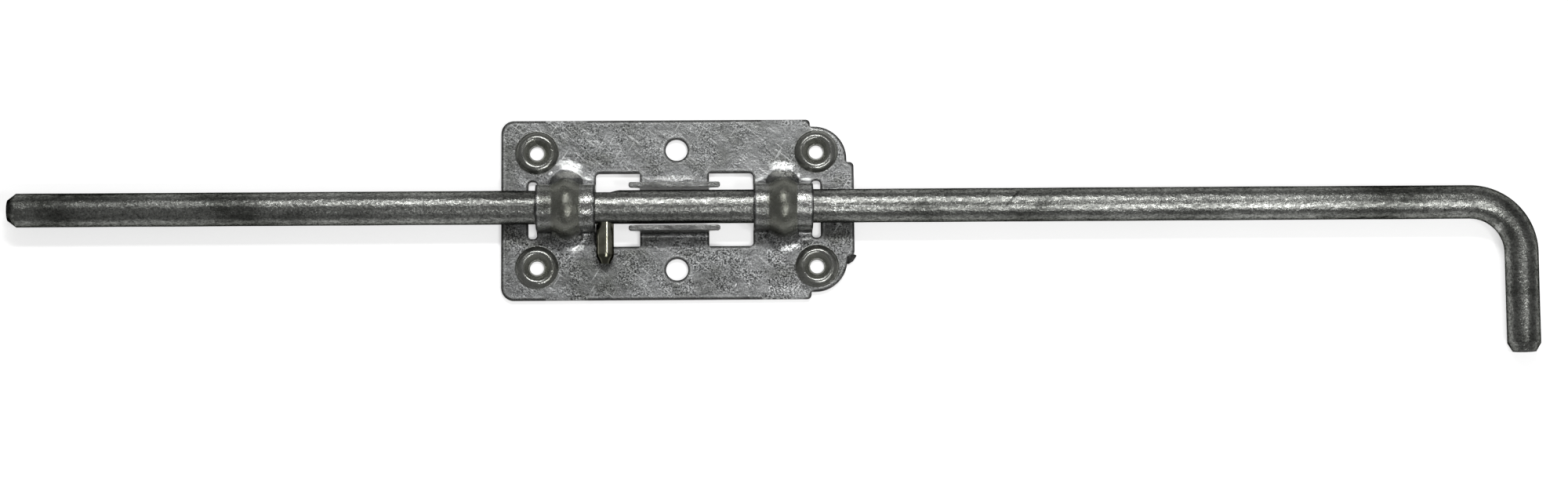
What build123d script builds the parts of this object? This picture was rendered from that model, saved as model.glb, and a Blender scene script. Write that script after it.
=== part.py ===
"""Gate bolt: a pressed steel plate that carries a long bent bar with a stop pin.

Millimetres. The origin lies on the plate's back face, at the centre of the four
screw holes and under the bar's axis. +X runs along the bar towards its handle,
+Z out of the plate's face, and the handle points to -Y. Straps and ears are
drawn about their own centre line, which lies a little to the left.
"""

import math
import os

from build123d import *

os.makedirs("parts", exist_ok=True)

# Sheet and outline of the plate
SHEET = 2.5
PLATE_LEFT = 83.2
PLATE_RIGHT = 84.1
PLATE_HALF_WIDTH = 43.0
LEFT_CORNER_RADIUS = 6.0
RIGHT_CORNER_RADIUS = 15.4
CORNER_STEP = 3.4
CORNER_LAND = 1.8
STEP_TIP_RADIUS = 2.0
STEP_ROOT_RADIUS = 0.5

# Torn burr that the shears left in one corner step
BURR_OVERHANG = 1.0
BURR_DROP = 3.9
BURR_THICKNESS = 1.6

# Bar, its handle and its place above the plate
BAR_DIAMETER = 16.0
BAR_REACH = 314.6
HANDLE_X = 400.0
HANDLE_LENGTH = 71.2
BEND_RADIUS = 24.0
BAR_LIFT = 0.5
TIP_TAPER_LENGTH = 4.0
TIP_TAPER = 3.0
HANDLE_TAPER_LENGTH = 4.0
HANDLE_TAPER = 2.4

# Straps that are cut and drawn up out of the sheet, and the line midway between them
FITTINGS_X = -1.1
STRAP_CLEARANCE = 0.3
STRAP_START = 37.3
STRAP_LENGTH = 27.9
STRAP_BOW = 0.4
STRAP_FOOT_BEND = 1.5

# Bead across each strap, which flares out into the plate
BEAD_WIDTH = 13.7
BEAD_RISE = 2.65
BEAD_FOOT_WIDTH = 22.0

# Windows that free the straps and the ears
WINDOW_HALF_WIDTH = 17.6
WINDOW_CORNER_RADIUS = 1.8
SLOT_LENGTH = 4.1
SLOT_HALF_WIDTH = 13.8
SLOT_CORNER_RADIUS = 1.6

# T-shaped ears bent up beside the bar
EAR_CLEARANCE = 1.05
EAR_BEND = 2.0
EAR_HEIGHT = 11.0
EAR_HALF_WIDTH = 16.4
HORN_REACH = 5.2
HORN_ROOT_DEPTH = 3.2
HORN_TIP_DEPTH = 1.7
HORN_ROOT_RADIUS = 1.4
HORN_END_RADIUS = 1.1

# Screw bosses near the corners, raised from behind
SCREW_SPACING_X = 132.6
SCREW_SPACING_Y = 55.0
SCREW_HOLE_DIAMETER = 6.7
BOSS_RADIUS = 10.4
BOSS_CREST_RADIUS = 7.2
BOSS_RISE = 2.2
BOSS_LIP_DROP = 0.25
COUNTERSINK_RADIUS = 6.2
DIMPLE_HALF_WIDTH = 2.2
DIMPLE_FLAT = 1.6
DIMPLE_DEPTH = 1.8

# Bolt holes on the plate's cross line
BOLT_HOLE_DIAMETER = 10.5
BOLT_SPACING_Y = 57.4

# Stop pin, which lies on the plate, and the flat pressed into the bar opposite to it
PIN_DIAMETER = 8.4
PIN_LENGTH = 26.6
PIN_NOSE_LENGTH = 3.5
PIN_NOSE_TAPER = 1.9
PIN_SEAT_DEPTH = 4.0
PIN_GAP = 0.2
PIN_LIFT = 0.15
FLAT_DEPTH = 1.0
FLAT_BEHIND_PIN = 4.7
FLAT_BEFORE_PIN = 2.5
FLAT_RAMP = 3.9

# Sizes that follow from the ones above
SHOULDER_X = PLATE_RIGHT - CORNER_STEP
SHOULDER_Y = PLATE_HALF_WIDTH - CORNER_STEP
CORNER_RUN = RIGHT_CORNER_RADIUS + CORNER_LAND
BAR_RADIUS = BAR_DIAMETER / 2
AXIS_HEIGHT = SHEET + BAR_LIFT + BAR_RADIUS
STRAP_INNER = BAR_RADIUS + STRAP_CLEARANCE
STRAP_OUTER = STRAP_INNER + SHEET
STRAP_CENTRE = STRAP_START + STRAP_LENGTH / 2
STRAP_END = STRAP_START + STRAP_LENGTH
STRAP_FOOT_Y = STRAP_OUTER + STRAP_FOOT_BEND
FLARE_RADIUS = AXIS_HEIGHT - SHEET
FLARE_Y = STRAP_OUTER + BEAD_RISE + FLARE_RADIUS
EAR_INNER = BAR_RADIUS + EAR_CLEARANCE
EAR_OUTER = EAR_INNER + SHEET
EAR_FOOT_Y = EAR_OUTER + EAR_BEND
EAR_TOP = SHEET + EAR_HEIGHT
HORN_END = EAR_HALF_WIDTH + HORN_REACH
SCREW_HOLE_RADIUS = SCREW_HOLE_DIAMETER / 2
PIN_RADIUS = PIN_DIAMETER / 2
PIN_X = FITTINGS_X - STRAP_START + PIN_GAP + PIN_RADIUS

HANDLE_SHOULDER = HANDLE_LENGTH - HANDLE_TAPER_LENGTH
PIN_SHOULDER = PIN_LENGTH - PIN_NOSE_LENGTH


def dip_angle(shoulder, radius, height):
    """Angle by which a round arm dips from the bar's axis until its shoulder lies this far below."""
    return math.asin(height / math.hypot(shoulder, radius)) - math.atan2(radius, shoulder)


# The handle's end rests on the surface behind the plate, and the pin on the plate's face
HANDLE_DIP = dip_angle(HANDLE_SHOULDER, BAR_RADIUS, AXIS_HEIGHT)
PIN_DIP = dip_angle(PIN_SHOULDER, PIN_RADIUS, AXIS_HEIGHT - SHEET - PIN_LIFT)


def hollow_half_width(width):
    """Half the hollow's width, for sheet of even thickness bent to a bead of this outside width."""
    outside = (width**2 / 4 + BEAD_RISE**2) / (2 * BEAD_RISE)
    inside = outside - SHEET
    return math.sqrt(inside**2 - (inside - BEAD_RISE) ** 2)


def bead_section(plane, width, base, top):
    """Face under one arc, from the bead's base line to its top, filled down past the base."""
    half = width / 2
    fill = base + math.copysign(SHEET, base - top)
    with BuildSketch(plane) as section:
        with BuildLine():
            ThreePointArc((-half, base), (0, top), (half, base))
            Polyline((half, base), (half, fill), (-half, fill), (-half, base))
        make_face()
    return section.sketch.face()


def hollow_section(plane, width, base, top):
    """Face of the hollow behind a bead: a level crown between two slopes, filled down past the base."""
    half = hollow_half_width(width)
    fill = base + math.copysign(SHEET, base - top)
    with BuildSketch(plane) as section:
        Polygon(
            (-half, fill),
            (-half, base),
            (-half / 2, top),
            (half / 2, top),
            (half, base),
            (half, fill),
            align=None,
        )
    return section.sketch.face()


def flare_plane(angle):
    """Plane across the flare, this many degrees round from the bar towards the plate."""
    turn = math.radians(angle)
    centre = (STRAP_CENTRE, FLARE_Y, AXIS_HEIGHT)
    return Plane(origin=centre, x_dir=(1, 0, 0), z_dir=(0, math.sin(turn), -math.cos(turn)))


def flare_width(angle):
    """Outside width of the bead at this angle: it spreads as it runs out into the plate."""
    return BEAD_WIDTH + (BEAD_FOOT_WIDTH - BEAD_WIDTH) * (angle / 90) ** 2


flare_angles = [0, 22.5, 45, 67.5, 90]
bar_axis = Axis((0, 0, AXIS_HEIGHT), (1, 0, 0))
crest_plane = Plane(origin=(STRAP_CENTRE, 0, AXIS_HEIGHT), x_dir=(1, 0, 0), z_dir=(0, 0, 1))

# Outside of the bead's flare on one side of the bar
with BuildPart() as flare_outside:
    loft(
        sections=[
            bead_section(flare_plane(angle), flare_width(angle), FLARE_RADIUS + BEAD_RISE, FLARE_RADIUS)
            for angle in flare_angles
        ]
    )
    split(bisect_by=Plane.XY.offset((DIMPLE_DEPTH + SHEET) / 2), keep=Keep.TOP)

# Inside of the flare, one sheet thickness deeper
with BuildPart() as flare_inside:
    loft(
        sections=[
            hollow_section(
                flare_plane(angle),
                flare_width(angle),
                FLARE_RADIUS + SHEET + BEAD_RISE,
                FLARE_RADIUS + SHEET,
            )
            for angle in flare_angles
        ]
    )

# Outside of one strap: the arch over the bar, with its feet run out into the sheet
with BuildPart() as strap_outside:
    with BuildSketch(Plane.YZ.offset(STRAP_START)):
        with BuildLine():
            foot = RadiusArc(
                (STRAP_FOOT_Y, SHEET), (STRAP_OUTER, SHEET + STRAP_FOOT_BEND), STRAP_FOOT_BEND
            )
            Line(foot @ 1, (STRAP_OUTER, AXIS_HEIGHT))
            Line((STRAP_FOOT_Y, SHEET), (STRAP_FOOT_Y, 0))
            mirror(about=Plane.YZ)
            ThreePointArc(
                (STRAP_OUTER, AXIS_HEIGHT), (0, AXIS_HEIGHT + STRAP_OUTER), (-STRAP_OUTER, AXIS_HEIGHT)
            )
            Line((STRAP_FOOT_Y, 0), (-STRAP_FOOT_Y, 0))
        make_face()
    extrude(amount=STRAP_LENGTH + STRAP_BOW)
    with BuildSketch():
        with BuildLine():
            Polyline(
                (STRAP_END, STRAP_FOOT_Y),
                (STRAP_START, STRAP_FOOT_Y),
                (STRAP_START, -STRAP_FOOT_Y),
                (STRAP_END, -STRAP_FOOT_Y),
            )
            ThreePointArc((STRAP_END, -STRAP_FOOT_Y), (STRAP_END + STRAP_BOW, 0), (STRAP_END, STRAP_FOOT_Y))
        make_face()
    extrude(amount=AXIS_HEIGHT + STRAP_OUTER, mode=Mode.INTERSECT)
    revolve(
        bead_section(crest_plane, BEAD_WIDTH, STRAP_OUTER, STRAP_OUTER + BEAD_RISE),
        axis=bar_axis,
        revolution_arc=180,
    )
    add(flare_outside.part)
    add(mirror(flare_outside.part, about=Plane.XZ, mode=Mode.PRIVATE))

# Space under the strap and its bead
with BuildPart() as strap_inside:
    with BuildSketch(Plane.YZ.offset(STRAP_START)):
        with BuildLine():
            foot = RadiusArc(
                (STRAP_FOOT_Y, 0), (STRAP_INNER, SHEET + STRAP_FOOT_BEND), SHEET + STRAP_FOOT_BEND
            )
            Line(foot @ 1, (STRAP_INNER, AXIS_HEIGHT))
            mirror(about=Plane.YZ)
            ThreePointArc(
                (STRAP_INNER, AXIS_HEIGHT), (0, AXIS_HEIGHT + STRAP_INNER), (-STRAP_INNER, AXIS_HEIGHT)
            )
            Line((STRAP_FOOT_Y, 0), (-STRAP_FOOT_Y, 0))
        make_face()
    extrude(amount=STRAP_LENGTH + STRAP_BOW)
    revolve(
        hollow_section(crest_plane, BEAD_WIDTH, STRAP_INNER, STRAP_INNER + BEAD_RISE),
        axis=bar_axis,
        revolution_arc=180,
    )
    add(flare_inside.part)
    add(mirror(flare_inside.part, about=Plane.XZ, mode=Mode.PRIVATE))

# One ear: bent up out of the window's edge and trimmed to a T with two horns
with BuildPart() as ear:
    with BuildSketch(Plane.YZ.offset(-HORN_END)):
        with BuildLine():
            back = RadiusArc((EAR_FOOT_Y, 0), (EAR_INNER, SHEET + EAR_BEND), SHEET + EAR_BEND)
            Polyline(back @ 1, (EAR_INNER, EAR_TOP), (EAR_OUTER, EAR_TOP), (EAR_OUTER, SHEET + EAR_BEND))
            front = RadiusArc((EAR_OUTER, SHEET + EAR_BEND), (EAR_FOOT_Y, SHEET), -EAR_BEND)
            Polyline(front @ 1, (WINDOW_HALF_WIDTH, SHEET), (WINDOW_HALF_WIDTH, 0), back @ 0)
        make_face()
    extrude(amount=2 * HORN_END)
    with BuildSketch(Plane.XZ):
        with BuildLine():
            Line((0, 0), (EAR_HALF_WIDTH, 0))
            FilletPolyline(
                (EAR_HALF_WIDTH, 0),
                (EAR_HALF_WIDTH, EAR_TOP - HORN_ROOT_DEPTH),
                (HORN_END, EAR_TOP - HORN_TIP_DEPTH),
                radius=HORN_ROOT_RADIUS,
            )
            Polyline((HORN_END, EAR_TOP - HORN_TIP_DEPTH), (HORN_END, EAR_TOP), (0, EAR_TOP))
            mirror(about=Plane.YZ)
        make_face()
    extrude(amount=-WINDOW_HALF_WIDTH, mode=Mode.INTERSECT)
    horn_ends = ear.faces().group_by(Axis.X)[0] + ear.faces().group_by(Axis.X)[-1]
    fillet(horn_ends.edges().filter_by(Axis.Z), HORN_END_RADIUS)

# One screw boss: a ring raised round a hole that is dished for a countersunk head
rim_height = SHEET + BOSS_RISE - BOSS_LIP_DROP
flank_steps = [0.35, 0.7, 1]
with BuildPart() as screw_boss:
    with BuildSketch(Plane.XZ):
        # The flank falls as a quarter of a cosine wave: level at the crest, steep at the foot
        Polygon(
            *[
                (
                    BOSS_CREST_RADIUS + step * (BOSS_RADIUS - BOSS_CREST_RADIUS),
                    SHEET + BOSS_RISE * math.cos(math.pi / 2 * step),
                )
                for step in flank_steps
            ],
            (BOSS_RADIUS, 0),
            (BOSS_CREST_RADIUS + DIMPLE_HALF_WIDTH, 0),
            (BOSS_CREST_RADIUS + DIMPLE_FLAT / 2, DIMPLE_DEPTH),
            (BOSS_CREST_RADIUS - DIMPLE_FLAT / 2, DIMPLE_DEPTH),
            (BOSS_CREST_RADIUS - DIMPLE_HALF_WIDTH, 0),
            (SCREW_HOLE_RADIUS, 0),
            (SCREW_HOLE_RADIUS, rim_height - COUNTERSINK_RADIUS + SCREW_HOLE_RADIUS),
            (COUNTERSINK_RADIUS, rim_height),
            (BOSS_CREST_RADIUS, SHEET + BOSS_RISE),
            align=None,
        )
    revolve(axis=Axis.Z)

# Mounting plate: the blank, its windows and holes, then everything pressed out of it
with BuildPart() as mounting_plate:
    with BuildSketch():
        with BuildLine():
            FilletPolyline(
                (-PLATE_LEFT, 0),
                (-PLATE_LEFT, PLATE_HALF_WIDTH),
                (SHOULDER_X - CORNER_RUN, PLATE_HALF_WIDTH),
                (SHOULDER_X - CORNER_RUN, SHOULDER_Y),
                (SHOULDER_X, SHOULDER_Y),
                (SHOULDER_X, SHOULDER_Y - CORNER_RUN),
                (PLATE_RIGHT, SHOULDER_Y - CORNER_RUN),
                (PLATE_RIGHT, 0),
                radius=[
                    LEFT_CORNER_RADIUS,
                    STEP_TIP_RADIUS,
                    STEP_ROOT_RADIUS,
                    RIGHT_CORNER_RADIUS,
                    STEP_ROOT_RADIUS,
                    STEP_TIP_RADIUS,
                ],
            )
            mirror(about=Plane.XZ)
        make_face()
        with Locations((FITTINGS_X, 0)):
            RectangleRounded(
                2 * STRAP_START, 2 * WINDOW_HALF_WIDTH, WINDOW_CORNER_RADIUS, mode=Mode.SUBTRACT
            )
            with GridLocations(2 * STRAP_END + SLOT_LENGTH, 0, 2, 1):
                RectangleRounded(SLOT_LENGTH, 2 * SLOT_HALF_WIDTH, SLOT_CORNER_RADIUS, mode=Mode.SUBTRACT)
        with GridLocations(0, BOLT_SPACING_Y, 1, 2):
            Circle(BOLT_HOLE_DIAMETER / 2, mode=Mode.SUBTRACT)
        with GridLocations(SCREW_SPACING_X, SCREW_SPACING_Y, 2, 2):
            Circle(BOSS_RADIUS, mode=Mode.SUBTRACT)
    extrude(amount=SHEET)
    with GridLocations(SCREW_SPACING_X, SCREW_SPACING_Y, 2, 2):
        add(screw_boss.part)
    with Locations((FITTINGS_X, 0)):
        add(ear.part)
        add(mirror(ear.part, about=Plane.XZ, mode=Mode.PRIVATE))
        add(strap_outside.part)
        add(mirror(strap_outside.part, about=Plane.YZ, mode=Mode.PRIVATE))
        add(strap_inside.part, mode=Mode.SUBTRACT)
        add(mirror(strap_inside.part, about=Plane.YZ, mode=Mode.PRIVATE), mode=Mode.SUBTRACT)
    with BuildSketch():
        with Locations((SHOULDER_X, -(SHOULDER_Y - CORNER_RUN))):
            Polygon(
                (-STEP_ROOT_RADIUS, STEP_ROOT_RADIUS),
                (-STEP_ROOT_RADIUS, -BURR_DROP),
                (0.2 * CORNER_STEP, -BURR_DROP),
                (0.8 * CORNER_STEP, -0.65 * BURR_DROP),
                (CORNER_STEP + BURR_OVERHANG, 0),
                (CORNER_STEP, STEP_ROOT_RADIUS),
                align=None,
            )
    extrude(amount=BURR_THICKNESS)

# Bar, with its handle dipped to the surface behind the plate
bar_plane = Plane(
    origin=(0, 0, AXIS_HEIGHT),
    x_dir=(1, 0, 0),
    z_dir=(0, -math.sin(HANDLE_DIP), math.cos(HANDLE_DIP)),
)
pin_direction = Vector(0, -math.cos(PIN_DIP), -math.sin(PIN_DIP))
pin_plane = Plane(
    origin=Vector(PIN_X, 0, AXIS_HEIGHT) - pin_direction * PIN_SEAT_DEPTH,
    x_dir=(1, 0, 0),
    z_dir=pin_direction,
)
flat_plane = Plane(
    origin=(PIN_X, 0, AXIS_HEIGHT),
    x_dir=(1, 0, 0),
    z_dir=(0, -math.sin(PIN_DIP), math.cos(PIN_DIP)),
)
with BuildPart() as bolt_rod:
    with BuildLine(bar_plane) as bar_path:
        FilletPolyline(
            (TIP_TAPER_LENGTH - BAR_REACH, 0), (HANDLE_X, 0), (HANDLE_X, -HANDLE_SHOULDER), radius=BEND_RADIUS
        )
    tip = bar_path.wires()[0] ^ 0
    grip = bar_path.wires()[0] ^ 1
    with BuildSketch(Plane(tip)):
        Circle(BAR_RADIUS)
    sweep()
    with BuildSketch(Plane(tip)):
        Circle(BAR_RADIUS)
    extrude(amount=-TIP_TAPER_LENGTH, taper=math.degrees(math.atan2(TIP_TAPER, TIP_TAPER_LENGTH)))
    with BuildSketch(Plane(grip)):
        Circle(BAR_RADIUS)
    extrude(
        amount=HANDLE_TAPER_LENGTH, taper=math.degrees(math.atan2(HANDLE_TAPER, HANDLE_TAPER_LENGTH))
    )
    with BuildSketch(flat_plane):
        Polygon(
            (-FLAT_BEHIND_PIN - FLAT_DEPTH, BAR_RADIUS),
            (-FLAT_BEHIND_PIN, BAR_RADIUS - FLAT_DEPTH),
            (FLAT_BEFORE_PIN, BAR_RADIUS - FLAT_DEPTH),
            (FLAT_BEFORE_PIN + FLAT_RAMP, BAR_RADIUS),
            align=None,
        )
    extrude(amount=BAR_RADIUS, both=True, mode=Mode.SUBTRACT)
    with BuildSketch(pin_plane):
        Circle(PIN_RADIUS)
    extrude(amount=PIN_SEAT_DEPTH + PIN_LENGTH, mode=Mode.SUBTRACT)

# Stop pin, pressed into its hole across the bar
with BuildPart() as stop_pin:
    with BuildSketch(pin_plane):
        Circle(PIN_RADIUS)
    extrude(amount=PIN_SEAT_DEPTH + PIN_SHOULDER)
    nose = stop_pin.faces().sort_by(Axis.Y)[0]
    extrude(nose, amount=PIN_NOSE_LENGTH, taper=math.degrees(math.atan2(PIN_NOSE_TAPER, PIN_NOSE_LENGTH)))

mounting_plate.part.label = "mounting_plate"
bolt_rod.part.label = "bolt_rod"
stop_pin.part.label = "stop_pin"
export_step(mounting_plate.part, "parts/mounting_plate.step")
export_step(bolt_rod.part, "parts/bolt_rod.step")
export_step(stop_pin.part, "parts/stop_pin.step")
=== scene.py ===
"""Dresses the gate bolt in its zinc finishes and sets it on a pale studio floor.

Everything is in metres in the row frame: +X runs along the bar to its handle, +Z out
of the plate, and the handle points to -Y. Sizes whose names end in mm are millimetres.
The bar and the pin take their places from the frame, so they lie where their solids do.
"""

import logging
import math
from dataclasses import dataclass
from enum import Enum

import bmesh
import bpy
import numpy as np
from mathutils import Matrix, Vector


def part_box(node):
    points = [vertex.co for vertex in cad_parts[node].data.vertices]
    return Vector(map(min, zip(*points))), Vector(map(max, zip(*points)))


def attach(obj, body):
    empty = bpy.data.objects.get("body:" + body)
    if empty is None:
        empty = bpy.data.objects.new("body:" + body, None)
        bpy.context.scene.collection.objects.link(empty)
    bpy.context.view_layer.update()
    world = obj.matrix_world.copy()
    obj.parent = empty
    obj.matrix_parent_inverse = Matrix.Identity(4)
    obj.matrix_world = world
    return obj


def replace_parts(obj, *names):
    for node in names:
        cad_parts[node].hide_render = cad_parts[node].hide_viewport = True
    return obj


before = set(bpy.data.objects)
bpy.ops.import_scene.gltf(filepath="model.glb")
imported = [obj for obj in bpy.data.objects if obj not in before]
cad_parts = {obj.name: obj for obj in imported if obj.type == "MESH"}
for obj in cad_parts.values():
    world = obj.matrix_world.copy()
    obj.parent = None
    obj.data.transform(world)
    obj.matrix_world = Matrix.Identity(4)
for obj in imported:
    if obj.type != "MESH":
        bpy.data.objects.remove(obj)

log = logging.getLogger("gate_bolt")

MM = 0.001
WHITE = (1.0, 1.0, 1.0, 1.0)

Socket = bpy.types.NodeSocket
Colour = tuple[float, float, float, float]
Pair = tuple[float, float]
Triple = tuple[float, float, float]


def linear(code: str) -> Colour:
    """Turns an sRGB hex colour into linear RGBA.

    Args:
        code: A hash and six hex digits.

    Returns:
        Linear red, green and blue, and an alpha of one.
    """
    values = [int(code[i : i + 2], 16) / 255 for i in (1, 3, 5)]
    red, green, blue = (
        v / 12.92 if v <= 0.04045 else ((v + 0.055) / 1.055) ** 2.4 for v in values
    )
    return red, green, blue, 1.0


def add_node(
    tree: bpy.types.NodeTree,
    kind: str,
    inputs: dict[str | int, object] | None = None,
    **settings: object,
) -> bpy.types.Node:
    """Adds one shader node.

    Args:
        tree: Node tree that gets the node.
        kind: The node's type name, without its leading ShaderNode.
        inputs: Socket name or number to a value, or to an output socket to link from.
        **settings: Properties of the node itself.

    Returns:
        The new node.
    """
    node = tree.nodes.new("ShaderNode" + kind)
    for name, value in settings.items():
        setattr(node, name, value)
    for name, value in (inputs or {}).items():
        if isinstance(value, Socket):
            tree.links.new(value, node.inputs[name])
        else:
            node.inputs[name].default_value = value
    return node


def read_corners(mesh: bpy.types.Mesh) -> np.ndarray:
    """The mesh's corners as an array of shape (corners, 3), in metres."""
    points = np.empty(len(mesh.vertices) * 3, dtype=np.float32)
    mesh.vertices.foreach_get("co", points)
    return points.reshape(-1, 3)


def write_corners(mesh: bpy.types.Mesh, points: np.ndarray) -> None:
    """Puts corners of shape (corners, 3), in metres, back into the mesh."""
    mesh.vertices.foreach_set("co", points.astype(np.float32).ravel())
    mesh.update()


def place_object(name: str, data: bpy.types.ID) -> bpy.types.Object:
    """Makes an object of this data and links it to the scene."""
    made = bpy.data.objects.new(name, data)
    bpy.context.scene.collection.objects.link(made)
    return made


class Axis3(Enum):
    """The three axes of the row frame, as sockets of a Separate XYZ node."""

    X = "X"
    Y = "Y"
    Z = "Z"


@dataclass(frozen=True)
class Ease:
    """A smooth step from start to end, as what is read goes up or down from low to high."""

    low: float
    high: float
    start: float = 0.0
    end: float = 1.0


@dataclass(frozen=True)
class Mark:
    """One patch on the front of a piece: a soft-edged ellipse with a ragged rim.

    Its half sizes lie along and across it, and it is turned from +X towards +Y. Its
    strength is the share of its colour in its middle, and its rag says how far its rim
    wanders, in half sizes.
    """

    place_mm: Pair
    half_mm: Pair
    colour: str
    strength: float = 1.0
    turn_degrees: float = 0.0
    rag: float = 0.5


class Pattern:
    """Node chains that the zinc finishes share, on Object coordinates in millimetres."""

    SPOT = Ease(1.15, 0.45)
    RAG_LEAST_MM = 0.8
    RAGS_ACROSS = 1.5

    def __init__(self, name: str) -> None:
        """Starts the chains in the emptied tree of a new material of this name."""
        self.material = bpy.data.materials.new(name)
        self.material.use_nodes = True
        self.tree = self.material.node_tree
        self.tree.nodes.clear()
        place = add_node(self.tree, "TexCoord").outputs["Object"]
        self.place = self.vector("MULTIPLY", place, (1 / MM,) * 3)
        self.parts = add_node(self.tree, "SeparateXYZ", {0: self.place}).outputs

    def axis(self, axis: Axis3) -> Socket:
        """One coordinate of the surface point, in millimetres."""
        return self.parts[axis.value]

    def math(self, operation: str, *values: object) -> Socket:
        """One step of arithmetic on numbers or sockets."""
        return add_node(self.tree, "Math", dict(enumerate(values)), operation=operation).outputs[0]

    def vector(self, operation: str, *values: object) -> Socket:
        """One step of arithmetic on vectors, as tuples or sockets."""
        inputs = dict(enumerate(values))
        node = add_node(self.tree, "VectorMath", inputs, operation=operation)
        return node.outputs["Value" if operation == "LENGTH" else "Vector"]

    def ramp(self, value: Socket, ease: Ease) -> Socket:
        """Runs a number through a smooth step.

        Args:
            value: The number that is read.
            ease: The step. Where its low is the larger, it is turned round, because
                the node's own smooth step only runs upwards.

        Returns:
            The eased number.
        """
        low, high, start, end = ease.low, ease.high, ease.start, ease.end
        if low > high:
            low, high, start, end = high, low, end, start
        inputs = {"Value": value, "From Min": low, "From Max": high, "To Min": start, "To Max": end}
        return add_node(self.tree, "MapRange", inputs, interpolation_type="SMOOTHSTEP").outputs[0]

    def turned(self, vector: Socket, degrees: float) -> Socket:
        """The vector turned about Z."""
        inputs = {"Vector": vector, "Angle": math.radians(degrees)}
        return add_node(self.tree, "VectorRotate", inputs, rotation_type="Z_AXIS").outputs[0]

    def stretched(self, turn_degrees: float, scale: Triple) -> Socket:
        """The surface point turned about Z and then scaled, for patterns with a direction."""
        return self.vector("MULTIPLY", self.turned(self.place, turn_degrees), scale)

    def noise(
        self, size_mm: float, detail: float, vector: Socket | None = None, **settings: float
    ) -> Socket:
        """Soft noise whose blotches are about this many millimetres across."""
        place = vector or self.place
        inputs = {"Vector": place, "Scale": 1 / size_mm, "Detail": detail, **settings}
        return add_node(self.tree, "TexNoise", inputs, noise_dimensions="3D").outputs["Fac"]

    def crystals(self, size_mm: float) -> Socket:
        """A random grey for each crystal of about this many millimetres."""
        inputs = {"Vector": self.place, "Scale": 1 / size_mm}
        cells = add_node(self.tree, "TexVoronoi", inputs, voronoi_dimensions="3D")
        return add_node(self.tree, "SeparateXYZ", {0: cells.outputs["Color"]}).outputs["X"]

    def mix(self, factor: object, below: object, above: object, blend: str = "MIX") -> Socket:
        """Mixes two colours, given as linear RGBA or as sockets."""
        inputs = {0: factor, 6: below, 7: above}
        return add_node(self.tree, "Mix", inputs, data_type="RGBA", blend_type=blend).outputs[2]

    def tint(self, colour: object, code: str, mask: Socket, share: float = 1.0) -> Socket:
        """Lays the hex colour over the other, as far as the mask times the share says."""
        factor = mask if share == 1.0 else self.math("MULTIPLY", mask, share)
        return self.mix(factor, colour, linear(code))

    def grey(self, value: Socket) -> Socket:
        """A number as a grey colour."""
        return add_node(self.tree, "CombineColor", {0: value, 1: value, 2: value}).outputs[0]

    def facing_up(self, ease: Ease) -> Socket:
        """The step run on the height of the surface's normal: one looks along +Z."""
        upright = add_node(self.tree, "NewGeometry").outputs["True Normal"]
        return self.ramp(add_node(self.tree, "SeparateXYZ", {0: upright}).outputs["Z"], ease)

    def spot(self, mark: Mark) -> Socket:
        """One in the middle of the mark, easing to nought at its ragged rim.

        The distance from the middle is measured in the mark's own half sizes, after
        turning, and noise shifts it, so that no two rims look alike.
        """
        away = self.vector("SUBTRACT", self.place, (*mark.place_mm, 0.0))
        turned = self.turned(away, -mark.turn_degrees)
        scale = (1 / mark.half_mm[0], 1 / mark.half_mm[1], 0.0)
        reach = self.vector("LENGTH", self.vector("MULTIPLY", turned, scale))
        rag = self.noise(max(self.RAG_LEAST_MM, min(mark.half_mm) / self.RAGS_ACROSS), 3.0)
        rag = self.math("SUBTRACT", rag, 0.5)
        return self.ramp(self.math("MULTIPLY_ADD", rag, 2 * mark.rag, reach), self.SPOT)

    def bump(self, height: Socket, depth_mm: float, normal: Socket | None = None) -> Socket:
        """Raises the surface by height, one standing for this many millimetres."""
        inputs = {"Height": height, "Distance": depth_mm * MM, "Strength": 1.0}
        if normal is not None:
            inputs["Normal"] = normal
        return add_node(self.tree, "Bump", inputs).outputs[0]

    def finish(
        self, colour: Socket, roughness: Socket, normal: Socket, metallic: float, edge_tint: str
    ) -> bpy.types.Material:
        """Ends the tree in one metal shader.

        Args:
            colour: Base colour of the metal.
            roughness: Its roughness.
            normal: Its bumped normal.
            metallic: Share of bare metal, the rest being dull oxide.
            edge_tint: What the metal reflects at a glancing angle, as sRGB hex.

        Returns:
            The finished material.
        """
        inputs = {"Base Color": colour, "Roughness": roughness, "Normal": normal}
        metal = {"Metallic": metallic, "Specular Tint": linear(edge_tint)}
        shader = add_node(self.tree, "BsdfPrincipled", {**inputs, **metal})
        add_node(self.tree, "OutputMaterial", {"Surface": shader.outputs[0]})
        return self.material


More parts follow.
